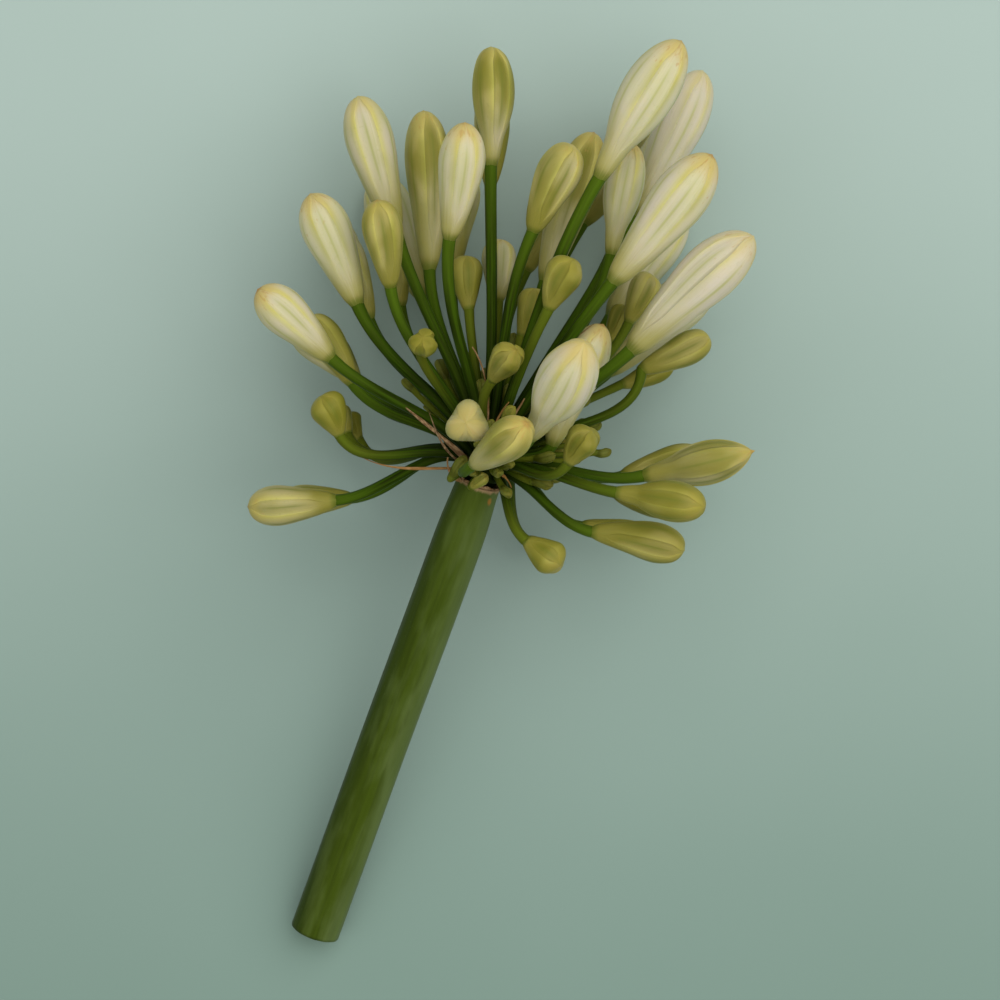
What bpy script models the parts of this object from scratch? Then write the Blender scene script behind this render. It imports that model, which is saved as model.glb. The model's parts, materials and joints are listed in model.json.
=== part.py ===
"""A white agapanthus flower head in bud, cut with a short length of stalk and lying on its side.

The stalk carries a receptacle, from which some sixty pedicels spread, each ending in one bud. The head
rests on the cut end of the stalk and on two buds. +Y runs from the cut end towards the buds and +Z is up.
Sizes and places are in millimetres, and places are measured from the collar, the top of the stalk.
"""

import math
import random
from collections import namedtuple

import bmesh
import bpy
from mathutils import Vector

MM = 0.001
GAP = 0.3
SHARP_EDGE = math.radians(50)

# The lie of the flower: the collar above the table, and the way the stalk points at its top
COLLAR_AT = Vector((-4.9, 4.45, 47.0))
TABLE = -COLLAR_AT.z
STALK_LEAN = math.radians(20)
STALK_RISE = math.radians(20)
AXIS = Vector(
    (
        math.sin(STALK_LEAN) * math.cos(STALK_RISE),
        math.cos(STALK_LEAN) * math.cos(STALK_RISE),
        math.sin(STALK_RISE),
    )
)

# The stalk, an oval stem that narrows a little towards the collar and levels out towards its cut end
STALK_END = Vector((-40.5, -110.0, TABLE + 5.5))
STALK_END_SLOPE = 0.9
STALK_RADIUS = 6.0
STALK_FLATNESS = 0.92
STALK_NARROWING = 0.7
STALK_NARROWING_LENGTH = 9.0
STALK_SIDES = 24
STALK_STEPS = 14

# The receptacle, the low dome at the top of the stalk that the pedicels grow from
NECK_RADIUS = 4.0
DOME_RADIUS = 5.3
DOME_BASE = 1.7
DOME_SHOULDER = 0.4
DOME_HEIGHT = 4.8
DOME_LIFTS = (0.4, 0.75, 0.95)
DOME_SIDES = 18

# The papery remains of the spathe, a ring round the neck with a torn upper edge that leans out
RING_INNER = NECK_RADIUS + GAP + 0.1
RING_OUTER = 5.7
RING_FOOT = 5.2
RING_EDGE = 0.5
RING_TOP = 1.0
RING_SIDES = 40
RING_TEAR = 0.35
# Waves of the torn edge: how many go round, their share of the tear, and their phase
RING_WAVES = ((5, 0.6, 0.0), (8, 0.4, 1.0))

# Pedicels: how they leave the receptacle, and their thickness, which grows with the bud that they carry
SEAT_HEIGHT = 3.0
ROOT_DEPTH = 3.0
START_SHARE = 0.75
START_STEEPEST = math.radians(74)
BOW = 0.36
FEWEST_STEPS = 3
TURN_PER_STEP = math.radians(20)
PEDICEL_THINNEST = 0.62
PEDICEL_PER_WIDTH = 0.073
ROOT_THINNING = 0.8

# Buds: a funnel up to the widest point, as shares of length and of radius, then a nose that ripens sharper
FUNNEL = ((0.0, 0.26), (0.12, 0.49), (0.3, 0.69), (0.5, 0.89), (0.68, 1.0))
NOSE_STATIONS = (0.84, 0.95)
NOSE_BLUNT = 0.36
NOSE_SHARP = 0.56
BUD_LOBE = 0.05
LOBED_FROM = 0.3
BUD_SIDES = 9
SMALL_BUD = 15.0
SMALL_FUNNEL = ((0.0, 0.3), (0.2, 0.58), (0.45, 0.85), (0.68, 1.0))
SMALL_NOSE_STATIONS = (0.88,)
SMALL_BUD_LOBE = 0.09
SMALL_BUD_SIDES = 6

# The far side by a rule: under a near floret lies a younger one, kept where it is clear of the rest
FAR_SEED = 7
FAR_TRIES = 60
FAR_ROUNDS = 2
FAR_AGE = (0.6, 1.0)
FAR_SIZE = (0.72, 0.96)
FAR_REACH = (0.84, 0.98)
FAR_DIP = (0.12, 0.34)
FAR_DEPTH = (16.0, 35.0)
FAR_CLEARANCE = 1.2
TABLE_CLEARANCE = 1.5
SPINE_POINTS = 9
SPINE_SHARES = (0.15, 0.3, 0.45, 0.6, 0.75, 0.9)
SPINE_SPAN = 0.2

Floret = namedtuple("Floret", "foot tip width tone arrival")


def floret(foot, tip, width, tone, arrival=None):
    """One floret; its pedicel arrives at the bud in the bud's own direction unless arrival gives another."""
    foot, tip = Vector(foot), Vector(tip)
    return Floret(foot, tip, width, tone, Vector(arrival or tip - foot).normalized())


# Where each floret seen from above has its bud: foot, tip, width, and tone from 0, green, to 1, white
CROWN = [
    floret((2.7, 75.3, -5.0), (2.7, 103.7, -8.0), 10.4, 0.5),
    floret((-7.0, 57.0, 13.0), (-3.3, 83.7, 20.0), 11.0, 0.85),
    floret((-12.0, 50.7, -11.0), (-13.5, 89.0, -16.0), 10.8, 0.6),
    floret((12.7, 59.0, 9.0), (22.0, 79.0, 13.0), 10.4, 0.35),
    floret((28.3, 71.3, 14.0), (47.3, 103.0, 18.0), 13.2, 0.95),
    floret((37.0, 64.0, -12.0), (53.5, 98.5, -14.0), 12.2, 0.9),
    floret((31.3, 54.0, 1.0), (36.5, 80.0, 1.0), 9.4, 0.8),
    floret((15.7, 48.0, -15.0), (27.5, 84.0, -19.0), 11.0, 0.6),
]
FLANK = [
    floret((31.3, 46.7, 17.0), (54.3, 76.0, 23.0), 13.2, 1.0),
    floret((35.7, 30.7, 17.0), (64.0, 57.0, 23.0), 13.4, 1.0),
    floret((35.7, 38.0, -7.0), (41.0, 49.5, -8.0), 7.4, 0.2),
    floret((38.7, 26.8, -6.0), (54.8, 34.5, -8.0), 8.0, 0.25, (0.05, 1.0, 0.0)),
    floret((-30.3, 23.3, -4.0), (-41.0, 39.0, -7.0), 8.6, 0.4),
    floret((-35.0, 29.0, 9.0), (-52.0, 45.0, 13.0), 10.6, 0.8),
    floret((-29.0, 42.0, 1.0), (-40.0, 68.0, 3.0), 11.6, 0.9),
    floret((-21.0, 46.0, 8.0), (-24.0, 66.0, 13.0), 9.6, 0.45),
    floret((-20.0, 60.0, -6.0), (-29.0, 92.0, -9.0), 11.6, 0.75),
]
SKIRT = [
    floret((39.0, 1.3, 6.0), (64.3, 7.0, 8.0), 10.6, 0.4),
    floret((32.3, -2.7, 22.0), (52.3, -6.0, 29.0), 9.4, 0.25),
    floret((26.7, -12.0, 10.0), (48.3, -16.3, 10.0), 9.4, 0.35),
    floret((11.0, -14.0, 14.0), (19.0, -20.0, 16.0), 8.2, 0.2),
    floret((-33.0, 11.0, 10.0), (-37.7, 19.8, 12.0), 8.4, 0.2),
    floret((-34.0, -4.5, -1.0), (-55.0, -6.0, -3.0), 9.6, 0.5),
]
FACE = [
    floret((11.8, 10.3, 33.0), (24.0, 31.3, 54.0), 13.2, 0.95),
    floret((-1.3, 3.7, 34.0), (11.0, 13.0, 47.0), 9.8, 0.6),
    floret((-2.6, 13.6, 27.0), (-3.0, 13.4, 38.0), 9.6, 0.35),
    floret((20.7, 4.0, 23.0), (26.3, 11.6, 26.0), 7.8, 0.2),
    floret((17.2, 8.7, 3.0), (29.2, 36.9, 8.0), 10.4, 0.9),
]
HEART = [
    floret((3.0, 23.5, 17.0), (8.5, 30.5, 22.0), 7.6, 0.1),
    floret((-13.7, 30.7, 20.0), (-13.0, 33.4, 27.0), 6.4, 0.05),
    floret((-2.5, 41.0, -7.0), (-3.2, 54.0, -9.0), 7.4, 0.15),
    floret((4.4, 43.3, -15.0), (4.8, 58.0, -18.0), 8.2, 0.15),
    floret((16.3, 40.3, 16.0), (22.3, 51.7, 18.0), 8.8, 0.2),
    floret((10.0, 34.7, -5.0), (13.4, 46.0, -6.0), 6.8, 0.1),
]
# The two buds that the head lies on, let down onto the table in a few passes as they are made
SETTLING_PASSES = 3
RESTING = [
    floret((-14.0, 45.0, -34.0), (-25.0, 75.0, -43.0), 12.4, 0.85),
    floret((32.0, 40.0, -34.0), (49.0, 68.0, -43.0), 12.6, 0.9),
]


def between(low, high, share):
    return low + (high - low) * share


def curve(handles, count):
    """Points along a Bezier curve."""
    a, b, c, d = handles
    points = []
    for i in range(count):
        t = i / (count - 1)
        u = 1 - t
        points.append(a * u**3 + b * (3 * t * u * u) + c * (3 * t * t * u) + d * t**3)
    return points


def circle(centre, side, up, radius_at, sides):
    """Points round a centre, at a radius that may depend on the angle."""
    points = []
    for k in range(sides):
        angle = 2 * math.pi * k / sides
        points.append(centre + (side * math.cos(angle) + up * math.sin(angle)) * radius_at(angle))
    return points


def pedicel_path(bud, count):
    """Points of the pedicel, from inside the receptacle to the foot of the bud."""
    seat = AXIS * SEAT_HEIGHT
    reach = bud.foot - seat
    polar = min(START_SHARE * AXIS.angle(reach), START_STEEPEST)
    out = (reach - AXIS * AXIS.dot(reach)).normalized()
    start = AXIS * math.cos(polar) + out * math.sin(polar)
    root = seat + start * ROOT_DEPTH
    bow = (bud.foot - root).length * BOW
    return curve((root, root + start * bow, bud.foot - bud.arrival * bow, bud.foot), count)


def pedicel_radius(bud):
    return PEDICEL_THINNEST + PEDICEL_PER_WIDTH * bud.width


def is_small(bud):
    return (bud.tip - bud.foot).length < SMALL_BUD


def bud_stations(bud):
    """Shares of a bud's length with its radius there, from its foot to just short of its tip."""
    small = is_small(bud)
    funnel = SMALL_FUNNEL if small else FUNNEL
    widest = funnel[-1][0]
    sharpness = between(NOSE_BLUNT, NOSE_SHARP, bud.tone)
    stations = [(share, max(radius * bud.width / 2, pedicel_radius(bud))) for share, radius in funnel]
    for share in SMALL_NOSE_STATIONS if small else NOSE_STATIONS:
        past = (share - widest) / (1 - widest)
        stations.append((share, (1 - past**2) ** sharpness * bud.width / 2))
    return stations


def beneath(host, rng):
    """A floret of the far side: it lies under its host, seen from above, and is shorter and younger."""
    age = host.tone * rng.uniform(*FAR_AGE)
    size = between(*FAR_SIZE, age)
    middle = (host.foot + host.tip) / 2 * rng.uniform(*FAR_REACH)
    middle.z = -rng.uniform(*FAR_DEPTH)
    heading = (host.tip - host.foot).normalized()
    heading.z = -rng.uniform(*FAR_DIP)
    half = heading.normalized() * (host.tip - host.foot).length * size / 2
    return floret(middle - half, middle + half, host.width * size, age)


def off_the_table(bud):
    return min(bud.foot.z, bud.tip.z) - bud.width / 2 > TABLE + TABLE_CLEARANCE


def spine(bud):
    """Points with radii down the middle of a floret, from a third of the way up its pedicel."""
    path = pedicel_path(bud, SPINE_POINTS)
    points = [(place, pedicel_radius(bud)) for place in path[SPINE_POINTS // 3 :]]
    for share in SPINE_SHARES:
        radius = max(r for s, r in bud_stations(bud) if abs(s - share) < SPINE_SPAN)
        points.append((bud.foot.lerp(bud.tip, share), radius))
    return points


def clear_of(bud, others):
    mine = spine(bud)
    for other in others:
        for place, radius in spine(other):
            for point, own in mine:
                if (place - point).length < radius + own + FAR_CLEARANCE:
                    return False
    return True


def far_florets(placed, hosts):
    """The florets on the side that the head lies on, which the near ones hide from above."""
    rng = random.Random(FAR_SEED)
    kept = []
    for _ in range(FAR_ROUNDS):
        for host in hosts:
            for _ in range(FAR_TRIES):
                bud = beneath(host, rng)
                if off_the_table(bud) and clear_of(bud, placed + kept):
                    kept.append(bud)
                    break
    return kept


def turned_frames(centres):
    """A pair of cross directions at each centre, carried along the line without twist."""
    tangents = []
    for i in range(len(centres)):
        ahead = centres[min(i + 1, len(centres) - 1)]
        behind = centres[max(i - 1, 0)]
        tangents.append((ahead - behind).normalized())
    side = tangents[0].orthogonal().normalized()
    frames = []
    for i, tangent in enumerate(tangents):
        if i:
            side = tangents[i - 1].rotation_difference(tangent) @ side
        side = (side - tangent * side.dot(tangent)).normalized()
        frames.append((side, tangent.cross(side)))
    return frames


def tube(rings, tip=None):
    """A closed bmesh through rings of points, ending in a point or a flat cap."""
    mesh = bmesh.new()
    loops = [[mesh.verts.new(p * MM) for p in ring] for ring in rings]
    for low, high in zip(loops, loops[1:]):
        for i in range(len(low)):
            j = (i + 1) % len(low)
            mesh.faces.new((low[i], low[j], high[j], high[i]))
    mesh.faces.new(reversed(loops[0]))
    last = loops[-1]
    if tip is None:
        mesh.faces.new(last)
    else:
        point = mesh.verts.new(tip * MM)
        for i in range(len(last)):
            mesh.faces.new((last[i], last[(i + 1) % len(last)], point))
    return mesh


def floret_rings(bud):
    """Rings of one floret from its root to the nose of the bud, and how many of them are pedicel."""
    sides = SMALL_BUD_SIDES if is_small(bud) else BUD_SIDES
    lobe = SMALL_BUD_LOBE if is_small(bud) else BUD_LOBE
    steps = FEWEST_STEPS + round(bud.arrival.angle(bud.foot) / TURN_PER_STEP)
    stations = bud_stations(bud)
    centres = pedicel_path(bud, steps + 1)[:-1]
    radii = [pedicel_radius(bud) * between(ROOT_THINNING, 1, i / steps) for i in range(steps)]
    lobes = [0] * steps
    for share, radius in stations:
        centres.append(bud.foot.lerp(bud.tip, share))
        radii.append(radius)
        lobes.append(lobe * min(1, share / LOBED_FROM))
    rings = []
    for centre, mean, depth, (side, up) in zip(centres, radii, lobes, turned_frames(centres)):
        rings.append(circle(centre, side, up, lambda a: mean * (1 + depth * math.cos(3 * a)), sides))
    return rings, steps


def set_down(bud):
    """A resting bud, lowered until its lowest point is on the table."""
    for _ in range(SETTLING_PASSES):
        lowest = min(p.z for ring in floret_rings(bud)[0] for p in ring)
        drop = Vector((0, 0, lowest - TABLE))
        bud = floret(bud.foot - drop, bud.tip - drop, bud.width, bud.tone)
    return bud


def all_florets():
    near = CROWN + FLANK + SKIRT + FACE + HEART
    far = far_florets(near + RESTING, CROWN + FLANK + SKIRT + FACE)
    return near + [set_down(bud) for bud in RESTING] + far


def new_object(name, mesh, materials, collection=None):
    """An object from a bmesh, its points moved from the collar to the model's own frame."""
    bmesh.ops.translate(mesh, verts=mesh.verts, vec=COLLAR_AT * MM)
    bmesh.ops.recalc_face_normals(mesh, faces=mesh.faces)
    data = bpy.data.meshes.new(name)
    mesh.to_mesh(data)
    mesh.free()
    for material in materials:
        data.materials.append(material)
    obj = bpy.data.objects.new(name, data)
    (collection or bpy.context.scene.collection).objects.link(obj)
    return obj


def shade(obj):
    obj.data.shade_smooth()
    obj.data.set_sharp_from_angle(angle=SHARP_EDGE)


def make_material(name, colour, roughness):
    material = bpy.data.materials.new(name)
    material.use_nodes = True
    shader = material.node_tree.nodes["Principled BSDF"]
    shader.inputs["Base Color"].default_value = (*colour, 1)
    shader.inputs["Roughness"].default_value = roughness
    shader.inputs["Metallic"].default_value = 0
    material.diffuse_color = (*colour, 1)
    return material


def collar_circle(height, radius, sides):
    """Points round the stalk's axis, at a height above the collar."""
    side = AXIS.orthogonal().normalized()
    return circle(AXIS * height, side, AXIS.cross(side), lambda a: radius, sides)


def make_stalk(material):
    """The stalk: an oval stem down a gentle curve, with flat faces at both ends."""
    reach = STALK_END.length / 3
    end_slope = Vector((STALK_END.x, STALK_END.y, STALK_END.z * STALK_END_SLOPE)).normalized()
    handles = (Vector(), -AXIS * reach, STALK_END - end_slope * reach, STALK_END)
    centres = curve(handles, STALK_STEPS + 1)
    rings = []
    for i, centre in enumerate(centres):
        narrowing = math.exp(-((centre.length / STALK_NARROWING_LENGTH) ** 2))
        radius = STALK_RADIUS - STALK_NARROWING * narrowing
        along = (centres[min(i + 1, STALK_STEPS)] - centres[max(i - 1, 0)]).normalized()
        level = along.cross(Vector((0, 0, 1))).normalized()
        thick = level.cross(along) * STALK_FLATNESS
        rings.append(circle(centre, level, thick, lambda a: radius, STALK_SIDES))
    sink = min(p.z for ring in rings for p in ring) - TABLE
    for i, ring in enumerate(rings):
        drop = Vector((0, 0, sink * (i / STALK_STEPS) ** 2))
        rings[i] = [p - drop for p in ring]
    obj = new_object("scape", tube(rings), [material])
    shade(obj)


def make_spathe(material):
    """The spathe's remains: a papery ring on the stalk's rim, its upper edge torn and leaning out."""
    mesh = bmesh.new()
    tears = []
    for k in range(RING_SIDES):
        angle = 2 * math.pi * k / RING_SIDES
        waves = sum(share * math.sin(count * angle + phase) for count, share, phase in RING_WAVES)
        tears.append(RING_TEAR * waves)
    corners = (
        (RING_INNER, GAP, 0),
        (RING_INNER, GAP + RING_EDGE, 0),
        (RING_OUTER - RING_EDGE, RING_TOP, 1),
        (RING_OUTER, RING_TOP, 1),
        (RING_FOOT, GAP, 0),
    )
    loops = []
    for radius, height, torn in corners:
        points = collar_circle(height, radius, RING_SIDES)
        loops.append([mesh.verts.new((p + AXIS * tear * torn) * MM) for p, tear in zip(points, tears)])
    for here, there in zip(loops, loops[1:] + loops[:1]):
        for i in range(RING_SIDES):
            j = (i + 1) % RING_SIDES
            mesh.faces.new((here[i], here[j], there[j], there[i]))
    obj = new_object("spathe_remains", mesh, [material])
    shade(obj)


def make_receptacle(materials):
    """The neck that stands in the spathe's ring, and the dome above it."""
    shoulder = DOME_BASE + DOME_SHOULDER
    rings = [
        collar_circle(GAP, NECK_RADIUS, DOME_SIDES),
        collar_circle(DOME_BASE, NECK_RADIUS, DOME_SIDES),
        collar_circle(shoulder, DOME_RADIUS, DOME_SIDES),
    ]
    for lift in DOME_LIFTS:
        radius = DOME_RADIUS * math.sqrt(1 - lift * lift)
        rings.append(collar_circle(shoulder + lift * DOME_HEIGHT, radius, DOME_SIDES))
    return new_object("umbel", tube(rings, AXIS * (shoulder + DOME_HEIGHT)), materials)


def make_floret(bud, name, materials, collection):
    """One floret as a closed solid, green up to the foot of the bud."""
    rings, steps = floret_rings(bud)
    mesh = tube(rings, bud.tip)
    sides = len(rings[0])
    for i, face in enumerate(mesh.faces):
        face.material_index = 1 if steps * sides <= i != (len(rings) - 1) * sides else 0
    new_object(name, mesh, materials, collection)


def make_umbel(green, cream):
    """The receptacle with every floret, joined into one body."""
    umbel = make_receptacle([green, cream])
    florets = bpy.data.collections.new("florets")
    bpy.context.scene.collection.children.link(florets)
    for i, bud in enumerate(all_florets()):
        make_floret(bud, f"floret_{i:02d}", [green, cream], florets)
    join = umbel.modifiers.new("join_florets", "BOOLEAN")
    join.operation = "UNION"
    join.operand_type = "COLLECTION"
    join.collection = florets
    join.solver = "MANIFOLD"
    apply_modifiers(umbel)
    for obj in list(florets.objects):
        bpy.data.objects.remove(obj)
    bpy.data.collections.remove(florets)
    shade(umbel)


def apply_modifiers(obj):
    bpy.context.view_layer.update()
    graph = bpy.context.evaluated_depsgraph_get()
    joined = bpy.data.meshes.new_from_object(obj.evaluated_get(graph))
    obj.modifiers.clear()
    obj.data = joined


def clear_scene():
    for obj in list(bpy.data.objects):
        bpy.data.objects.remove(obj)


def main():
    clear_scene()
    stalk_green = make_material("stalk_green", (0.13, 0.2, 0.055), 0.5)
    pedicel_green = make_material("pedicel_green", (0.07, 0.17, 0.02), 0.45)
    bud_cream = make_material("bud_cream", (0.72, 0.7, 0.42), 0.5)
    dry_paper = make_material("dry_paper", (0.42, 0.3, 0.17), 0.8)
    make_stalk(stalk_green)
    make_spathe(dry_paper)
    make_umbel(pedicel_green, bud_cream)


if __name__ == "__main__":
    main()
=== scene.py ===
"""The looks of a white agapanthus flower head in bud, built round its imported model.

The tables and rules that place the florets are the model's own. Each floret is made again here with its
six tepals, their margins and veins. Places are in millimetres from the collar, the top of the stalk.
"""

import json
import math
import random
from collections import namedtuple

import bpy
import numpy as np
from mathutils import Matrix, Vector

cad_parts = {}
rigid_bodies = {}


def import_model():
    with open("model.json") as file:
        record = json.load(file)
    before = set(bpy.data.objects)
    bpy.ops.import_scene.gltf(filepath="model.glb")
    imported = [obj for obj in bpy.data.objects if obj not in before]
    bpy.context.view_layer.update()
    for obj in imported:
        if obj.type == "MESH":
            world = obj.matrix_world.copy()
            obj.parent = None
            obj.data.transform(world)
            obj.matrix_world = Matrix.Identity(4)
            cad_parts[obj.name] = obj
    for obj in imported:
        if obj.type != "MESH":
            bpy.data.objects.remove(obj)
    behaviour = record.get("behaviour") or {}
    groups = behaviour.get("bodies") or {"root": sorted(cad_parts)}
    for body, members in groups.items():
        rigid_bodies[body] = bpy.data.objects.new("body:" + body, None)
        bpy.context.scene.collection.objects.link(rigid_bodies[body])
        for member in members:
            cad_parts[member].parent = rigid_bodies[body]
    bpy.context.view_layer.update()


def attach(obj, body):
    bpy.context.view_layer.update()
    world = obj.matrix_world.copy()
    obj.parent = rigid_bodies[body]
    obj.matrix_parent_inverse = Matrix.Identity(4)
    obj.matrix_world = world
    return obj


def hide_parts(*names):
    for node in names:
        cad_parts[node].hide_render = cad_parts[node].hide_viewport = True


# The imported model, once Blender's startup objects are out of its way
for obj in list(bpy.data.objects):
    bpy.data.objects.remove(obj)
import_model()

MM = 0.001
COLLAR_AT = Vector((-4.9, 4.45, 47))
TABLE = -COLLAR_AT.z
STALK_LEAN = math.radians(20)
STALK_RISE = math.radians(20)
AXIS = Vector(
    (
        math.sin(STALK_LEAN) * math.cos(STALK_RISE),
        math.cos(STALK_LEAN) * math.cos(STALK_RISE),
        math.sin(STALK_RISE),
    )
)
UP = Vector((0, 0, 1))
# The range of a wave's random phase, and how far the grain is shifted at random
PHASES = (0, 6)
GRAIN_SHIFT = 500

# The stalk, as in the model, with fine ribs that twist a little from row to row
STALK_END = Vector((-40.5, -110, TABLE + 5.5))
STALK_END_SLOPE = 0.9
STALK_RADIUS = 6
STALK_FLATNESS = 0.92
STALK_NARROWING = 0.7
STALK_NARROWING_LENGTH = 9
STALK_SIDES = 96
STALK_ROWS = 170
STALK_RIBS = 11
STALK_RIB_DEPTH = 0.007
STALK_BULGES = 3
STALK_BULGE_DEPTH = 0.012
STALK_TWIST = 0.01
BULGE_TWIST = 5
# Rings inside each cut face, as shares of its size, and the orange scar under the rim
CUT_RINGS = (0.985, 0.93, 0.8, 0.6, 0.4, 0.2)
SCAR_AT = Vector((2.6, -5.4, 3.2))
SCAR_SIZE = 1
SCAR_STRETCH = (1, 0.6, 0.6)

# The receptacle and the papery rim left by the spathe
NECK_START = 0.3
NECK_RADIUS = 4
DOME_RADIUS = 5.3
DOME_BASE = 1.7
DOME_SHOULDER = 0.4
DOME_HEIGHT = 4.8
DOME_TIP = 0.01
DOME_TONE = 0.2
KNOB_HEIGHT = 0.03
KNOBS_ROUND = 9
KNOBS_UP = 3
DOME_SIDES = 72
DOME_ROWS = 16
RIM_INNER = 4.6
RIM_FOOT = 5.25
RIM_OUTER = 5.75
RIM_FOOT_HEIGHT = 0.25
RIM_HEIGHT = 1.05
RIM_THICKNESS = 0.3
RIM_SIDES = 180
RIM_SEED = 5
RIM_TONE = 0.3
RIM_TEAR = 0.45
RIM_FLUTE = 0.12
RIM_WAVES = ((3, 0.3), (5, 0.3), (8, 0.22), (13, 0.16), (21, 0.12), (34, 0.1))
# The corners of its section: radius, lowest height, and share of the way up to the torn edge
RIM_CORNERS = (
    (RIM_INNER, RIM_FOOT_HEIGHT, 0),
    (RIM_INNER + 0.1, RIM_FOOT_HEIGHT, 0.55),
    (RIM_OUTER - RIM_THICKNESS, 0, 0.95),
    (RIM_OUTER, 0, 1),
    (RIM_OUTER + 0.06, 0, 0.8),
    (RIM_FOOT + 0.25, RIM_FOOT_HEIGHT, 0.3),
    (RIM_FOOT, RIM_FOOT_HEIGHT, 0),
)

# Pedicels, as in the model, but swollen where the bud begins, with the two tucked into each other
SEAT_HEIGHT = 3
ROOT_DEPTH = 3
START_SHARE = 0.75
START_STEEPEST = math.radians(74)
BOW = 0.36
PEDICEL_THINNEST = 0.62
PEDICEL_PER_WIDTH = 0.073
ROOT_THINNING = 0.8
PEDICEL_SIDES = 16
PEDICEL_ROWS = 30
PEDICEL_FLARE = 0.08
FLARE_START = 0.9
PEDICEL_SEED = 11
PEDICEL_LOBES = 4
PEDICEL_LOBE = 0.02
PEDICEL_GRAIN = 1.5
TUCK = 0.55
TUCK_NARROWING = 0.9

# Buds: a funnel up to the widest point, as shares of length and of radius, then a nose
FUNNEL = ((0, 0.26), (0.05, 0.38), (0.15, 0.53), (0.28, 0.67), (0.42, 0.81), (0.56, 0.945), (0.68, 1))
SMALL_FUNNEL = ((0, 0.3), (0.1, 0.45), (0.2, 0.58), (0.32, 0.72), (0.45, 0.85), (0.57, 0.95), (0.68, 1))
WAISTED = ((0, 0.24), (0.06, 0.32), (0.14, 0.4), (0.24, 0.49), (0.34, 0.69), (0.47, 0.9), (0.64, 1))
SPINDLE = ((0, 0.26), (0.05, 0.36), (0.15, 0.47), (0.26, 0.6), (0.38, 0.84), (0.48, 0.96), (0.58, 1))
FUNNELS = {"full": FUNNEL, "waisted": WAISTED, "spindle": SPINDLE}
NOSE_BLUNT = 0.36
NOSE_SHARP = 0.56
SPINDLE_NOSE = 0.72
LATE_NOSE = 0.6
BUD_LOBE = 0.05
SMALL_BUD = 15
LATE_WIDTH = 4
SMALL_BUD_LOBE = 0.09
LOBE_START = 0.3
BUD_WOBBLE = 0.015
FOOT_SWELL = 1.12
BEAK_LENGTH = 0.25
YOUNG_BEAK_LENGTH = 0.08
SPINDLE_BEAK_LENGTH = 0.9
BEAK_RADIUS = 0.9
BEAK_TONES = (0.1, 0.5)
BEAK_STARTS = (0.8, 0.95)
BEAK_BLEND = 4
SMALL_CORNERS = 0.08
CORNER_STARTS = (0.5, 0.85)
HOOD_AT = 0.92
HOOD_REACH = 0.06
HOOD_WIDTH = 1.2
HOOD_HEIGHT = 0.12
SMALL_HOOD_HEIGHT = 0.2
HOOD_WIDTHS = (2, 8)
BUD_ROWS = 40
LATE_ROWS = 18
BEND = (0.3, 0.8)
STRAIGHT = (0, 0)
SETTLE_ROUNDS = 3
ROLL = math.radians(26)

# Tepals: three outer ones with raised margins, and a panel of an inner one between each pair. Starts and
# ends are shares of a bud's length between which a form comes or goes.
SECTOR = math.radians(120)
HALF_SECTOR = math.radians(60)
PANEL_HALF = math.radians(24)
PANEL_LEAST = math.radians(4)
PANEL_STARTS = (0.06, 0.3)
PANEL_ENDS = (0.84, 1)
PANEL_CLOSING = 0.6
PANEL_STOPS = np.array([-0.985, -0.6, -0.2, 0, 0.2, 0.6, 0.985])
OUTER_HALF_STOPS = np.array([0, 0.04, 0.12, 0.35, 0.6, 0.8, 0.9, 0.965, 1])
OUTER_STOPS = np.concatenate([-OUTER_HALF_STOPS[:0:-1], OUTER_HALF_STOPS])
RIDGE_HEIGHT = 0.13
RIDGE_WIDTH = 0.9
MARGIN_WIDTH = 1.25
MARGIN_STARTS = (0.08, 0.3)
PANEL_MARGIN = 0.55
RECESS = 0.016
RECESS_MIDDLE = 0.7
RIB_HEIGHT = 0.05
RIB_PARTS = ((0.65, 0.3), (0.35, 1))
RELIEF_STARTS = (0.1, 0.36)
RELIEF_ENDS = (0.97, 1)
RELIEF_WIDTHS = (7, 12)
SMALL_RELIEF = 0.6
RELIEF = {"cushion": 0.3, "knobbed": 1.7, "spindle": 0.5}

# The far side by a rule: under a near floret lies a younger one, kept where it is clear of the rest
FAR_SEED = 7
FAR_TRIES = 60
FAR_ROUNDS = 2
FAR_AGE = (0.6, 1)
FAR_SIZE = (0.72, 0.96)
FAR_REACH = (0.84, 0.98)
FAR_DIP = (0.12, 0.34)
FAR_DEPTH = (16, 35)
FAR_CLEARANCE = 1.2
TABLE_CLEARANCE = 1.5
SPINE_POINTS = 9
SPINE_SHARES = (0.15, 0.3, 0.45, 0.6, 0.75, 0.9)
SPINE_SPAN = 0.2
MODEL_FUNNEL = ((0, 0.26), (0.12, 0.49), (0.3, 0.69), (0.5, 0.89), (0.68, 1))
MODEL_NOSE = (0.84, 0.95)
MODEL_SMALL_FUNNEL = ((0, 0.3), (0.2, 0.58), (0.45, 0.85), (0.68, 1))
MODEL_SMALL_NOSE = (0.88,)

Floret = namedtuple("Floret", "foot tip width tone arrival shade form ripening roll")


def floret(foot, tip, width, tone, arrival=None, shade=0, form="full", ripening=0.1, roll=None):
    """One floret; its pedicel arrives at the bud in the bud's own direction unless arrival gives another.

    Tone is its age, as the model has it, and shade makes it look riper or greener than that; for a few
    buds that lie in the shade of others it is also painted light, which lightens them. Its form is full,
    waisted, with a narrow foot, or spindle, widest near its middle and with a drawn-out tip; a small one may
    be cushion, nearly smooth, or knobbed. Ripening is how much riper the tip is than the foot.
    Roll turns the bud, in degrees: at 0 a panel faces up, and at 60 an outer tepal does.
    """
    foot, tip = Vector(foot), Vector(tip)
    arrival = Vector(arrival or tip - foot).normalized()
    return Floret(foot, tip, width, tone, arrival, shade, form, ripening, roll)


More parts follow.
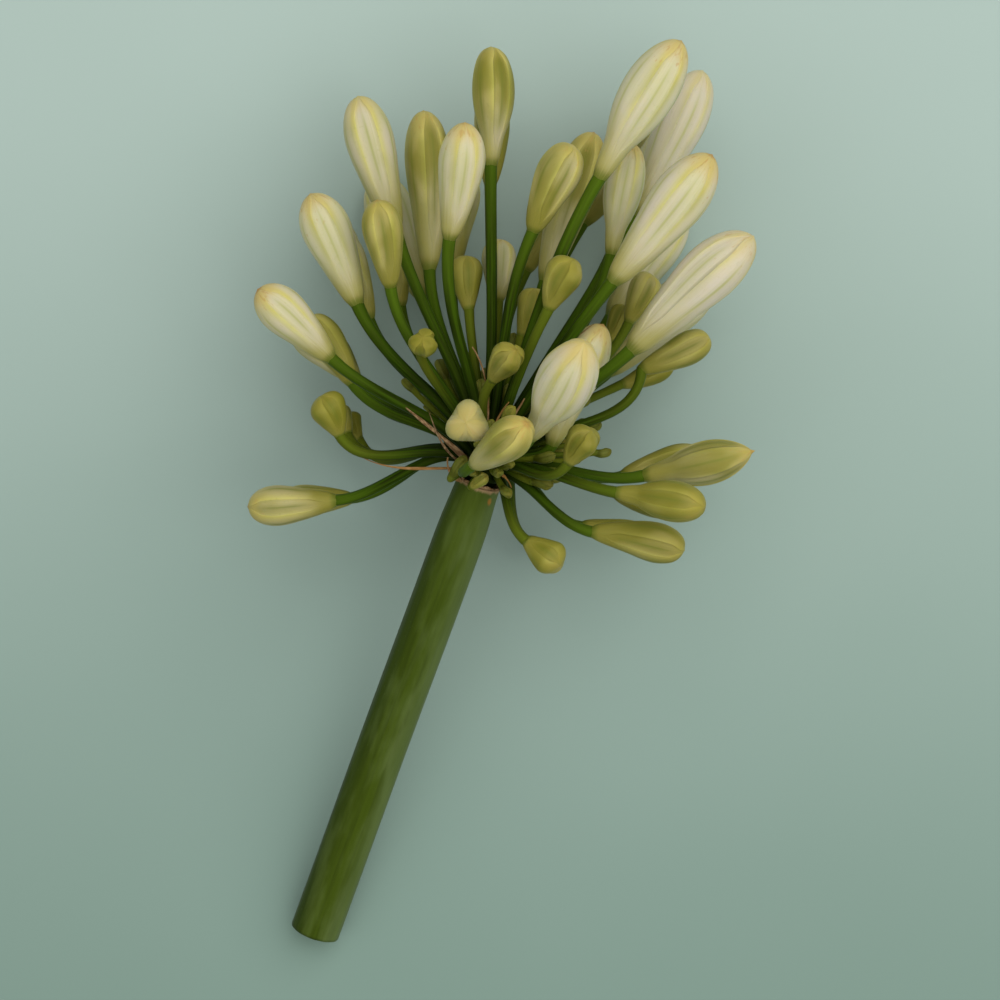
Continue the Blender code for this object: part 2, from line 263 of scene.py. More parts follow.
# Where each floret seen from above has its bud: foot, tip, width, and tone from 0, green, to 1, white
CROWN = [
    floret((2.7, 75.3, -5), (2.7, 103.7, -8), 10.4, 0.5, shade=-0.02, form="waisted", ripening=-0.9, roll=28),
    floret((-7, 57, 13), (-3.3, 83.7, 20), 11, 0.85),
    floret((-12, 50.7, -11), (-13.5, 89, -16), 10.8, 0.6, shade=-0.07, ripening=-0.55),
    floret((12.7, 59, 9), (22, 79, 13), 10.4, 0.35, shade=0.1, ripening=0.3),
    floret((28.3, 71.3, 14), (47.3, 103, 18), 13.2, 0.95, form="waisted"),
    # It lies in the shade of the buds in front; part of its shade value is painted light, which lightens it
    floret((37, 64, -12), (53.5, 98.5, -14), 12.2, 0.9, shade=0.45),
    floret((31.3, 54, 1), (36.5, 80, 1), 9.4, 0.8, shade=0.05, form="waisted", ripening=-0.1),
    floret((15.7, 48, -15), (27.5, 84, -19), 11, 0.6, shade=-0.08, ripening=-0.8),
]
FLANK = [
    floret((31.3, 46.7, 17), (54.3, 76, 23), 13.2, 1),
    floret((35.7, 30.7, 17), (64, 57, 23), 13.4, 1, shade=0.3),
    # These two lie in shade behind the others; part of their shade values is painted light, which lightens
    # them
    floret((35.7, 38, -7), (41, 49.5, -8), 7.4, 0.2, shade=0.17, ripening=0.3),
    floret((38.7, 26.8, -6), (54.8, 34.5, -8), 8, 0.25, (0.05, 1, 0), shade=0.07, ripening=0.2),
    floret((-30.3, 23.3, -4), (-41, 39, -7), 8.6, 0.4),
    floret((-35, 29, 9), (-52, 45, 13), 10.6, 0.8),
    floret((-29, 42, 1), (-40, 68, 3), 11.6, 0.9),
    floret((-21, 46, 8), (-24, 66, 13), 9.6, 0.45, ripening=-0.2),
    floret((-20, 60, -6), (-29, 92, -9), 11.6, 0.75),
]
SKIRT = [
    floret((39, 1.3, 6), (64.3, 7, 8), 10.6, 0.4, shade=0.12, form="spindle", ripening=-0.25, roll=60),
    floret((32.3, -2.7, 22), (52.3, -6, 29), 9.4, 0.25, form="waisted", ripening=-0.1),
    floret((26.7, -12, 10), (48.3, -16.3, 10), 9.4, 0.35, shade=-0.1),
    floret((11, -14, 14), (19, -20, 16), 8.2, 0.2, ripening=0.3),
    floret((-33, 11, 10), (-37.7, 19.8, 12), 8.4, 0.2, shade=-0.05),
    floret((-34, -4.5, -1), (-55, -6, -3), 9.6, 0.5),
]
FACE = [
    floret((11.8, 10.3, 33), (24, 31.3, 54), 13.2, 0.95, form="waisted"),
    floret((-1.3, 3.7, 34), (11, 13, 47), 9.8, 0.6, shade=-0.08, ripening=-0.6),
    floret((-2.6, 13.6, 27), (-3, 13.4, 38), 9.6, 0.35, shade=0.2, form="cushion"),
    floret((20.7, 4, 23), (26.3, 11.6, 26), 7.8, 0.2, shade=-0.03),
    floret((17.2, 8.7, 3), (29.2, 36.9, 8), 10.4, 0.9),
]
HEART = [
    floret((3, 23.5, 17), (8.5, 30.5, 22), 7.6, 0.1, shade=0.1, form="knobbed"),
    floret((-13.7, 30.7, 20), (-13, 33.4, 27), 6.4, 0.05, shade=0.07, form="knobbed", ripening=-0.2),
    floret((-2.5, 41, -7), (-3.2, 54, -9), 7.4, 0.15),
    # It lies deep in shade under the others; part of its shade value is painted light, which lightens it
    floret((4.4, 43.3, -15), (4.8, 58, -18), 8.2, 0.15, shade=0.6),
    floret((16.3, 40.3, 16), (22.3, 51.7, 18), 8.8, 0.2, shade=0.04),
    floret((10, 34.7, -5), (13.4, 46, -6), 6.8, 0.1, shade=0.1, ripening=0.3),
]
# The two that the head rests on
RESTING = [
    floret((-14, 45, -34), (-25, 75, -43), 12.4, 0.85),
    floret((32, 40, -34), (49, 68, -43), 12.6, 0.9),
]

# Late buds a few millimetres long, low on the receptacle
LATE = [
    floret((-6.6, 1, 8), (-3, 5.6, 10.5), 3.3, 0.05),
    floret((-1.6, -1.2, 8.4), (2, 1.4, 9.8), 3.1, 0.15),
    floret((11.2, 2.4, 7), (20.4, 1.5, 8), 3.6, 0.05),
    floret((6.4, 13, 9), (8.4, 17.5, 12), 3, 0.1),
    floret((0.5, 16, 4), (0.2, 21, 5), 2.8, 0.05),
]
# More late buds by a rule, on short pedicels that crowd the heart of the umbel
LATE_SEED = 21
LATE_TRIES = 900
LATE_MOST = 64
LATE_POLAR = math.radians(88)
LATE_LEAST_REACH = 9
LATE_NEAR_SKIP = 0.88
LATE_REACH_NEAR = 15
LATE_REACH_FAR = 32
LATE_LENGTH = (2.8, 6)
LATE_SLIMNESS = 0.5
LATE_CLEARANCE = 0.25
LATE_OLDEST = 0.08
LATE_FACING = (0.2, -0.4)
# On the left of the collar the pedicels are bare
BARE_EDGE = -4.5
BARE_DEPTH = -3

# Dry bracteoles: points along each, its radius, and how orange it is
THREADS = [
    (((-3, 3.5, 5), (-8, 6.5, 9), (-9.2, 9, 13), (-11.6, 15.8, 20)), 0.3, 0.1),
    (((1.5, 6, 6), (3, 12, 12), (4.4, 15.6, 17), (7, 18.4, 22)), 0.32, 0.9),
    (((-4, 3, 4), (-14, 3.4, 7), (-21, 1.6, 8), (-29, 6.4, 7)), 0.32, 0.75),
    (((1, 8, 6), (2.6, 18, 12), (2.4, 25.6, 17), (-1.6, 31.4, 19)), 0.34, 0.3),
    (((3, 2.5, 6), (5.5, 2, 9), (6.8, 0.6, 10), (7.6, -1.6, 9)), 0.34, 1),
    (((-3, 5, 5), (-9, 11, 7), (-14, 14.5, 8), (-17.5, 17.5, 7)), 0.5, 0.2),
    (((3, 6, 5), (9, 18, 9), (17, 30, 10), (27, 37, 12)), 0.3, 0.35),
    (((-4.4, 0.4, 5), (-6.8, 0.8, 7.6), (-7.8, 3.2, 9.6), (-7.4, 5.6, 10.4)), 0.42, 0.45),
]
THREAD_GIRTH = 1.3
THREAD_SIDES = 8
THREAD_ROWS = 20
THREAD_SEED = 3
THREAD_FOOT = 1.05
THREAD_TAPER = 0.8
THREAD_CRUMPLE = 0.35
THREAD_WAVES = (9, 2)
THREAD_GRAIN = 20

# The studio, in metres and watts. The camera sees the frame's width at the height of the frame's plane.
CAMERA_HEIGHT = 1.3
FRAME_PLANE = 0.055
FRAME_WIDTH = 0.236
SENSOR_WIDTH = 36
FLOOR_SIZE = 6
WORLD_STRENGTH = 0.3
WORLD_COLOUR = (1, 1, 0.98, 1)
LIGHT_AIM = Vector((0, 0.02, 0.04))
# Name, place, size, power and colour
LIGHTS = (
    ("key", (0.5, 0.35, 1.1), 1.6, 13.1, (1, 0.98, 0.94)),
    ("fill", (-0.3, -0.25, 1.2), 2.2, 8.5, (1, 0.99, 0.97)),
)

# Colours, in linear values
TEPAL_WHITE = (0.64, 0.61, 0.41)
TEPAL_BLUSH = (0.65, 0.59, 0.49)
TEPAL_KHAKI = (0.29, 0.262, 0.058)
TEPAL_BEIGE = (0.4, 0.345, 0.12)
TEPAL_YOUNG = (0.184, 0.176, 0.012)
TEPAL_LATE = (0.06, 0.075, 0.003)
FOOT_KHAKI = (0.385, 0.355, 0.1)
FOOT_GREEN = (0.265, 0.247, 0.042)
PANEL_CREAM = (0.66, 0.635, 0.37)
MARGIN_YELLOW = (0.6, 0.575, 0.14)
MARGIN_GOLD = (0.62, 0.54, 0.2)
MARGIN_OLIVE = (0.4, 0.4, 0.07)
RIB_GREEN = (0.4, 0.42, 0.12)
RIB_OLIVE = (0.15, 0.18, 0.02)
TIP_GOLD = (0.6, 0.47, 0.17)
YOUNG_GOLD = (0.42, 0.37, 0.065)
TIP_BROWN = (0.42, 0.2, 0.05)
TIP_RUST = (0.5, 0.29, 0.09)
# Dark green for the pedicels' streaks, and for the painted shade at the heart of the umbel
STEM_DARK = (0.005, 0.011, 0.0005)
STEM_OLIVE = (0.13, 0.145, 0.012)
STEM_GREEN = (0.027, 0.064, 0.001)
STEM_PALE = (0.085, 0.15, 0.008)
JOINT_GREEN = (0.11, 0.15, 0.01)
# Dark green for the stalk's streaks, and for the painted shade on its left side
STALK_DARK = (0.02, 0.036, 0.002)
STALK_GREEN = (0.047, 0.078, 0.005)
STALK_LIGHT = (0.085, 0.13, 0.018)
# Pale bloom in clouds, and the painted light on the stalk's right side
STALK_BLOOM_AND_LIT_SIDE = (0.12, 0.17, 0.05)
PITH = (0.46, 0.5, 0.22)
BUNDLE_GREEN = (0.22, 0.3, 0.08)
PAPER_TAN = (0.42, 0.28, 0.15)
PAPER_BROWN = (0.1, 0.055, 0.025)
PAPER_ORANGE = (0.36, 0.17, 0.03)
LEAF_GLOSS = (0.75, 0.9, 0.2)
WAX_GLOSS = (1, 0.92, 0.45)
# The floor's painted light falloff: pale at the top of the frame, sage towards the bottom
FLOOR_PALE = (0.435, 0.555, 0.515)
FLOOR_SAGE = (0.212, 0.318, 0.272)


def between(low, high, share):
    return low + (high - low) * share


def ease(low, high, value):
    """A smooth step from 0 at low to 1 at high."""
    t = np.clip((value - low) / (high - low), 0, 1)
    return t * t * (3 - 2 * t)


def hump(value, width):
    """A bump of height 1 at 0 that fades away over the width."""
    return np.exp(-((value / width) ** 2))


def circle(count):
    """Angles evenly round a circle."""
    return np.linspace(0, 2 * math.pi, count, endpoint=False)


def curve(handles, count):
    """Points along a Bezier curve."""
    a, b, c, d = handles
    points = []
    for i in range(count):
        t = i / (count - 1)
        u = 1 - t
        points.append(a * u**3 + b * (3 * t * u * u) + c * (3 * t * t * u) + d * t**3)
    return points


def smooth_line(at, stations):
    """A smooth curve through stations of place and value, level at its last one."""
    places, values = np.array(stations).T
    slopes = np.gradient(values, places)
    slopes[-1] = 0
    i = np.clip(np.searchsorted(places, at, side="right") - 1, 0, len(places) - 2)
    step = places[i + 1] - places[i]
    t = (at - places[i]) / step
    low = values[i] * (1 + 2 * t) * (1 - t) ** 2 + slopes[i] * step * t * (1 - t) ** 2
    high = values[i + 1] * t * t * (3 - 2 * t) + slopes[i + 1] * step * t * t * (t - 1)
    return low + high


# Where the florets are, by the model's rules


def pedicel_path(bud, count):
    """Points of the pedicel, from inside the receptacle to the foot of the bud."""
    seat = AXIS * SEAT_HEIGHT
    reach = bud.foot - seat
    polar = min(START_SHARE * AXIS.angle(reach), START_STEEPEST)
    out = (reach - AXIS * AXIS.dot(reach)).normalized()
    start = AXIS * math.cos(polar) + out * math.sin(polar)
    root = seat + start * ROOT_DEPTH
    bow = (bud.foot - root).length * BOW
    return curve((root, root + start * bow, bud.foot - bud.arrival * bow, bud.foot), count)


def pedicel_radius(bud):
    return PEDICEL_THINNEST + PEDICEL_PER_WIDTH * bud.width


def is_small(bud):
    return (bud.tip - bud.foot).length < SMALL_BUD


def bud_stations(bud):
    """Shares of a bud's length with its radius there, as the model has them."""
    small = is_small(bud)
    funnel = MODEL_SMALL_FUNNEL if small else MODEL_FUNNEL
    widest = funnel[-1][0]
    sharpness = between(NOSE_BLUNT, NOSE_SHARP, bud.tone)
    stations = [(share, max(radius * bud.width / 2, pedicel_radius(bud))) for share, radius in funnel]
    for share in MODEL_SMALL_NOSE if small else MODEL_NOSE:
        past = (share - widest) / (1 - widest)
        stations.append((share, (1 - past**2) ** sharpness * bud.width / 2))
    return stations


def beneath(host, rng):
    """A floret of the far side: it lies under its host, seen from above, and is shorter and younger."""
    age = host.tone * rng.uniform(*FAR_AGE)
    size = between(*FAR_SIZE, age)
    middle = (host.foot + host.tip) / 2 * rng.uniform(*FAR_REACH)
    middle.z = -rng.uniform(*FAR_DEPTH)
    heading = (host.tip - host.foot).normalized()
    heading.z = -rng.uniform(*FAR_DIP)
    half = heading.normalized() * (host.tip - host.foot).length * size / 2
    return floret(middle - half, middle + half, host.width * size, age)


def off_the_table(bud):
    return min(bud.foot.z, bud.tip.z) - bud.width / 2 > TABLE + TABLE_CLEARANCE


def spine(bud):
    """Points with radii down the middle of a floret, from a third of the way up its pedicel."""
    path = pedicel_path(bud, SPINE_POINTS)
    points = [(place, pedicel_radius(bud)) for place in path[SPINE_POINTS // 3 :]]
    for share in SPINE_SHARES:
        radius = max(r for s, r in bud_stations(bud) if abs(s - share) < SPINE_SPAN)
        points.append((bud.foot.lerp(bud.tip, share), radius))
    return points


def clear_of(bud, others):
    mine = spine(bud)
    for other in others:
        for place, radius in spine(other):
            for point, own in mine:
                if (place - point).length < radius + own + FAR_CLEARANCE:
                    return False
    return True


def far_florets(placed, hosts):
    """The florets on the side that the head lies on, which the near ones hide from above."""
    rng = random.Random(FAR_SEED)
    kept = []
    for _ in range(FAR_ROUNDS):
        for host in hosts:
            for _ in range(FAR_TRIES):
                bud = beneath(host, rng)
                if off_the_table(bud) and clear_of(bud, placed + kept):
                    kept.append(bud)
                    break
    return kept


def late_florets(placed):
    """Late buds on short pedicels, pointing any way from the receptacle that is clear of other florets."""
    rng = random.Random(LATE_SEED)
    side = AXIS.orthogonal().normalized()
    spines = [point for other in placed for point in spine(other)]
    kept = []
    for _ in range(LATE_TRIES):
        polar = math.acos(rng.uniform(math.cos(LATE_POLAR), 1))
        round_axis = rng.uniform(0, 2 * math.pi)
        across = side * math.cos(round_axis) + AXIS.cross(side) * math.sin(round_axis)
        heading = AXIS * math.cos(polar) + across * math.sin(polar)
        if heading.z > 0 and rng.random() < LATE_NEAR_SKIP:
            continue
        most = between(LATE_REACH_NEAR, LATE_REACH_FAR, ease(*LATE_FACING, heading.z))
        foot = AXIS * SEAT_HEIGHT + heading * rng.uniform(LATE_LEAST_REACH, most)
        length = rng.uniform(*LATE_LENGTH)
        tone = rng.uniform(0, LATE_OLDEST)
        bud = floret(foot, foot + heading * length, length * LATE_SLIMNESS, tone)
        middle = foot + heading * length / 2
        gap = min((place - middle).length - radius for place, radius in spines)
        bare = foot.x < BARE_EDGE and foot.z > BARE_DEPTH
        if gap > bud.width / 2 + LATE_CLEARANCE and not bare:
            kept.append(bud)
            spines += spine(bud)
        if len(kept) == LATE_MOST:
            break
    return kept


# Surfaces: grids of points that close on themselves sideways, gathered into one mesh


def add_object(name, data):
    """A new object in the scene."""
    obj = bpy.data.objects.new(name, data)
    bpy.context.scene.collection.objects.link(obj)
    return obj


class Surface:
    """Points, faces and named values at each point, gathered from many grids into one mesh."""

    def __init__(self):
        self.points, self.faces, self.values, self.count = [], [], {}, 0

    def add_grid(self, grid, values):
        """Adds rings of points (rows, columns, 3), closed at both ends, and values that spread over them."""
        rows, columns = grid.shape[:2]
        ring, across = np.meshgrid(np.arange(rows - 1), np.arange(columns), indexing="ij")
        here = self.count + ring * columns + across
        beside = self.count + ring * columns + (across + 1) % columns
        quads = np.stack([here, beside, beside + columns, here + columns], axis=-1)
        self.faces += quads.reshape(-1, 4).tolist()
        last = self.count + (rows - 1) * columns
        foot = last + columns
        for i in range(columns):
            j = (i + 1) % columns
            self.faces.append((self.count + j, self.count + i, foot))
            self.faces.append((last + i, last + j, foot + 1))
        self.points.append(self.with_ends(grid))
        for name, value in values.items():
            if np.ndim(value) < 3:
                value = np.broadcast_to(value, (rows, columns)).astype(float)
            self.values.setdefault(name, []).append(self.with_ends(value))
        self.count += rows * columns + 2

    @staticmethod
    def with_ends(grid):
        """The grid as one list, followed by the middle of its first ring and of its last."""
        flat = grid.reshape(-1, *grid.shape[2:])
        return np.concatenate([flat, grid[:1].mean(axis=1), grid[-1:].mean(axis=1)])

    def to_object(self, name, material):
        """A smooth-shaded object in the model's own frame, with its values as attributes."""
        points = (np.concatenate(self.points) + np.array(COLLAR_AT)) * MM
        mesh = bpy.data.meshes.new(name)
        mesh.from_pydata(points.tolist(), [], self.faces)
        for key, parts in self.values.items():
            value = np.concatenate(parts).astype(np.float32)
            vector = value.ndim == 2
            attribute = mesh.attributes.new(key, "FLOAT_VECTOR" if vector else "FLOAT", "POINT")
            attribute.data.foreach_set("vector" if vector else "value", value.ravel())
        mesh.materials.append(material)
        mesh.shade_smooth()
        return add_object(name, mesh)


def one_grid(name, material, grid, values):
    """A piece made of a single grid."""
    surface = Surface()
    surface.add_grid(grid, values)
    return surface.to_object(name, material)


def tangents(centres):
    """The direction of the line at each of its centres."""
    ahead, behind = centres[1:] + centres[-1:], centres[:1] + centres[:-1]
    return [(after - before).normalized() for after, before in zip(ahead, behind)]


def cross_frames(centres):
    """Two arrays of cross directions at the centres, carried along the line without twist."""
    line = tangents(centres)
    side = line[0].orthogonal().normalized()
    sides, ups = [], []
    for i, tangent in enumerate(line):
        if i:
            side = line[i - 1].rotation_difference(tangent) @ side
        side = (side - tangent * side.dot(tangent)).normalized()
        sides.append(side)
        ups.append(tangent.cross(side))
    return np.array(sides), np.array(ups)


def rings_round(centres, sides, ups, angles, radii):
    """A grid of points at the angles and radii (rows, columns) round the centres."""
    across = np.cos(angles)[..., None] * sides[:, None] + np.sin(angles)[..., None] * ups[:, None]
    return np.array(centres)[:, None] + across * radii[..., None]


def grain_at(angles, radius, along):
    """A place on an unrolled tube, without a seam, for textures that run along it."""
    places = np.broadcast_arrays(np.cos(angles) * radius, np.sin(angles) * radius, along)
    return np.stack(places, axis=-1)


# Buds


def tepal_columns():
    """For each column of a bud: the angle of its tepal's middle, its place across, and if it is a panel."""
    middles, places, panels = [], [], []
    for sector in range(3):
        turn = SECTOR * sector
        middles += [turn] * len(PANEL_STOPS) + [turn + HALF_SECTOR] * len(OUTER_STOPS)
        places += [*PANEL_STOPS, *OUTER_STOPS]
        panels += [True] * len(PANEL_STOPS) + [False] * len(OUTER_STOPS)
    return np.array(middles), np.array(places), np.array(panels)


def beak_length(bud):
    """How far the tip is drawn out: most in a spindle, least in a young bud."""
    if bud.form == "spindle":
        return SPINDLE_BEAK_LENGTH
    return between(YOUNG_BEAK_LENGTH, BEAK_LENGTH, ease(*BEAK_TONES, bud.tone))


def bud_outline(bud, share, beak):
    """The bud's mean radius at shares of its length; the beak carries the tip on past 1."""
    stations = SMALL_FUNNEL if is_small(bud) else FUNNELS[bud.form]
    nose = between(NOSE_BLUNT, NOSE_SHARP, bud.tone)
    if bud.form == "spindle":
        nose = SPINDLE_NOSE
    elif bud.width < LATE_WIDTH:
        nose = LATE_NOSE
    widest, foot = stations[-1][0], stations[0][1]
    least = FOOT_SWELL * pedicel_radius(bud) / (bud.width / 2)
    rising = smooth_line(np.minimum(share, widest), stations)
    rising = least + (1 - least) * (rising - foot) / (1 - foot)
    past = np.clip((share - widest) / (1 - widest), 0, 1)
    falling = (1 - past**2) ** nose
    length = (bud.tip - bud.foot).length
    point = np.clip((1 + beak / length - share) * length / (2 * beak), 0, 1) * BEAK_RADIUS
    point *= ease(*BEAK_STARTS, share)
    point *= min(1, beak / BEAK_LENGTH)
    body = rising * falling * bud.width / 2
    return (body**BEAK_BLEND + point**BEAK_BLEND) ** (1 / BEAK_BLEND)


def bud_axis(bud, share, bend):
    """Centres along the bud, bowed to one side by the bend."""
    line = np.array(bud.foot) + np.outer(share, np.array(bud.tip - bud.foot))
    line += np.outer(4 * share * (1 - np.minimum(share, 1)), np.array(bend))
    return [Vector(p) for p in line]


def bud_lean(bud, dice, bend):
    """A bow to a random side of the bud, square to its length."""
    lean = Vector([dice.gauss(0, 1) for _ in range(3)])
    heading = (bud.tip - bud.foot).normalized()
    return (lean - heading * lean.dot(heading)).normalized() * dice.uniform(*bend)


def bud_lobes(bud, share, local):
    """How the radius varies round a bud: in three lobes, which give a small one its corners."""
    lobe = BUD_LOBE
    if is_small(bud):
        lobe = SMALL_BUD_LOBE + SMALL_CORNERS * ease(*CORNER_STARTS, share)
    lobe = (lobe * ease(0, LOBE_START, share))[:, None]
    return 1 - lobe * np.cos(3 * local)


def bud_turn(bud, side, up, dice):
    """The turn that brings a panel up to face the sky, give or take the bud's own roll or a random one."""
    facing = math.atan2(UP.dot(Vector(up)), UP.dot(Vector(side)))
    chance = dice.uniform(-ROLL, ROLL)
    return facing + (chance if bud.roll is None else math.radians(bud.roll))


def tepal_relief(bud, share, places, panels, radius, half):
    """How far tepals stand out, and the strength of margins and of midribs, at every point of a bud."""
    formed = (ease(*RELIEF_STARTS, share) * (1 - ease(*RELIEF_ENDS, share)))[:, None]
    spread = np.where(panels, half, HALF_SECTOR - half)
    edge = (1 - np.abs(places)) * spread * radius
    middle = places * spread * radius
    ridge = RIDGE_HEIGHT * hump(edge, RIDGE_WIDTH)
    rib = sum(part * hump(middle, width) for part, width in RIB_PARTS)
    recess = RECESS * radius * between(RECESS_MIDDLE, 1, np.abs(places))
    hood = SMALL_HOOD_HEIGHT * ease(*HOOD_WIDTHS, bud.width) if is_small(bud) else HOOD_HEIGHT
    hoods = hood * hump(middle, HOOD_WIDTH) * hump(share[:, None] - HOOD_AT, HOOD_REACH)
    relief = np.where(panels, rib * RIB_HEIGHT - recess, ridge - rib * RIB_HEIGHT + hoods) * formed
    relief *= RELIEF.get(bud.form, between(SMALL_RELIEF, 1, ease(*RELIEF_WIDTHS, bud.width)))
    margin = np.where(panels, PANEL_MARGIN * hump(edge, MARGIN_WIDTH / 2), hump(edge, MARGIN_WIDTH))
    margin = margin * ease(*MARGIN_STARTS, share)[:, None] * min(1, RELIEF.get(bud.form, 1))
    return relief, margin, rib * formed


def add_bud(surface, bud, dice, bend=BEND):
    """Adds one bud with its six tepals, and returns its lowest height."""
    length, beak = (bud.tip - bud.foot).length, beak_length(bud)
    rows = LATE_ROWS if bud.width < LATE_WIDTH else BUD_ROWS
    share = (1 - np.cos(np.linspace(0, math.pi, rows))) / 2 * (1 + beak / length)
    share = np.concatenate([[-TUCK * pedicel_radius(bud) / length], share])
    centres = bud_axis(bud, share, bud_lean(bud, dice, bend))
    sides, ups = cross_frames(centres)
    middles, places, panels = tepal_columns()
    half = PANEL_HALF * ease(*PANEL_STARTS, share) * (1 - PANEL_CLOSING * ease(*PANEL_ENDS, share))
    half = np.maximum(half, PANEL_LEAST)[:, None]
    local = middles + places * np.where(panels, half, HALF_SECTOR - half)
    outline = bud_outline(bud, share, beak)
    outline[0] = TUCK_NARROWING * pedicel_radius(bud)
    radius = outline[:, None] * bud_lobes(bud, share, local)
    radius *= 1 + BUD_WOBBLE * np.sin(2 * local + dice.uniform(*PHASES))
    relief, margin, rib = tepal_relief(bud, share, places, panels, radius, half)
    turn = bud_turn(bud, sides[rows // 2], ups[rows // 2], dice)
    grid = rings_round(centres, sides, ups, local + turn, radius + relief)
    along = share[:, None]
    values = {
        "along": along,
        "margin": margin,
        "rib": rib,
        "across": np.where(panels, 1, np.abs(places)),
        "panel": panels,
        "tone": max(bud.tone + bud.shade, 0),
        "ripening": bud.ripening,
        "fleck": dice.random(),
        "grain": grain_at(local, bud.width / 2, along * length) + dice.uniform(0, GRAIN_SHIFT),
    }
    surface.add_grid(grid, values)
    return grid[..., 2].min()


def make_group(name, buds, material, seed, add=add_bud):
    """One piece of many buds, or of their pedicels, each added with chances drawn from one seed."""
    surface, dice = Surface(), random.Random(seed)
    for bud in buds:
        add(surface, bud, dice)
    return surface.to_object(name, material)


def settled(bud):
    """A resting bud, lowered until its lowest point is on the table."""
    for _ in range(SETTLE_ROUNDS):
        lowest = add_bud(Surface(), bud, random.Random(bud.width), STRAIGHT)
        drop = Vector((0, 0, lowest - TABLE))
        bud = floret(bud.foot - drop, bud.tip - drop, bud.width, bud.tone)
    return bud


def resting_group(name, buds, material):
    surface = Surface()
    for bud in buds:
        add_bud(surface, bud, random.Random(bud.width), STRAIGHT)
    return surface.to_object(name, material)


# Green parts


def add_pedicel(surface, bud, dice):
    radius = pedicel_radius(bud)
    centres = pedicel_path(bud, PEDICEL_ROWS)
    centres.append(centres[-1] + (bud.tip - bud.foot).normalized() * TUCK * radius)
    share = np.append(np.linspace(0, 1, PEDICEL_ROWS), 1)
    angles = circle(PEDICEL_SIDES)
    radii = radius * between(ROOT_THINNING, 1, share) * (1 + PEDICEL_FLARE * ease(FLARE_START, 1, share))
    radii[-1] = TUCK_NARROWING * radius
    radii = radii[:, None] * (1 + PEDICEL_LOBE * np.cos(PEDICEL_LOBES * angles + dice.uniform(*PHASES)))
    sides, ups = cross_frames(centres)
    length = sum((b - a).length for a, b in zip(centres, centres[1:]))
    along = share[:, None]
    values = {
        "along": along,
        "tone": dice.random(),
        "age": bud.tone,
        "grain": grain_at(angles, PEDICEL_GRAIN, along * length) + dice.uniform(0, GRAIN_SHIFT),
    }
    surface.add_grid(rings_round(centres, sides, ups, angles, radii), values)


def collar_rings(heights, radii, sides):
    """Rings round the stalk's axis: heights above the collar, and radii (rows, sides)."""
    side = AXIS.orthogonal().normalized()
    angles = circle(sides)
    across = np.outer(np.cos(angles), side) + np.outer(np.sin(angles), AXIS.cross(side))
    return heights[..., None] * np.array(AXIS) + across[None] * radii[..., None]


def make_receptacle(name, material):
    """The low dome that every pedicel grows from, on a neck sunk in the stalk."""
    shoulder = DOME_BASE + DOME_SHOULDER
    lift = np.sin(np.linspace(0, math.pi / 2, DOME_ROWS))
    heights = np.concatenate([[NECK_START, DOME_BASE], shoulder + lift * DOME_HEIGHT])
    radii = np.concatenate([[NECK_RADIUS, NECK_RADIUS], DOME_RADIUS * np.sqrt(1 - lift**2) + DOME_TIP])
    up = heights[:, None]
    knobs = 1 + KNOB_HEIGHT * np.sin(KNOBS_ROUND * circle(DOME_SIDES)[None] + up) * np.sin(KNOBS_UP * up)
    grid = collar_rings(up, radii[:, None] * knobs, DOME_SIDES)
    # At along 0 the pedicel material paints it in full shade, the dark heart of the umbel
    return one_grid(name, material, grid, {"along": 0, "tone": DOME_TONE, "grain": grid})


def make_rim(name, material):
    """The papery rim left by the spathe, its torn edge leaning out over the top of the stalk."""
    angles = circle(RIM_SIDES)
    dice = random.Random(RIM_SEED)
    torn = np.zeros(RIM_SIDES)
    for waves, share in RIM_WAVES:
        torn += share * np.sin(waves * angles + dice.uniform(*PHASES))
    rise = RIM_HEIGHT * (1 + RIM_TEAR * torn)
    heights = np.array([between(low, rise, up) for _, low, up in RIM_CORNERS])
    radii = np.array([radius + RIM_FLUTE * torn * up for radius, _, up in RIM_CORNERS])
    values = {
        "along": np.array([[up] for _, _, up in RIM_CORNERS]),
        "tone": RIM_TONE,
        "grain": grain_at(angles, STALK_RADIUS, 0) + heights[..., None],
    }
    return one_grid(name, material, collar_rings(heights, radii, RIM_SIDES), values)


def make_threads(name, material):
    """Dry bracteoles, each a thin twisted thread that tapers to its tip."""
    surface = Surface()
    dice = random.Random(THREAD_SEED)
    share = np.linspace(0, 1, THREAD_ROWS)[:, None]
    angles = circle(THREAD_SIDES)
    waves_along, waves_round = THREAD_WAVES
    for handles, radius, orange in THREADS:
        centres = curve([Vector(p) for p in handles], THREAD_ROWS)
        sides, ups = cross_frames(centres)
        waves = waves_along * share + waves_round * angles + dice.uniform(*PHASES)
        radii = radius * THREAD_GIRTH * (THREAD_FOOT - THREAD_TAPER * share)
        radii = radii * (1 + THREAD_CRUMPLE * np.sin(waves))
        values = {"along": share, "tone": orange, "grain": grain_at(angles, radius, share * THREAD_GRAIN)}
        surface.add_grid(rings_round(centres, sides, ups, angles, radii), values)
    return surface.to_object(name, material)


# The stalk


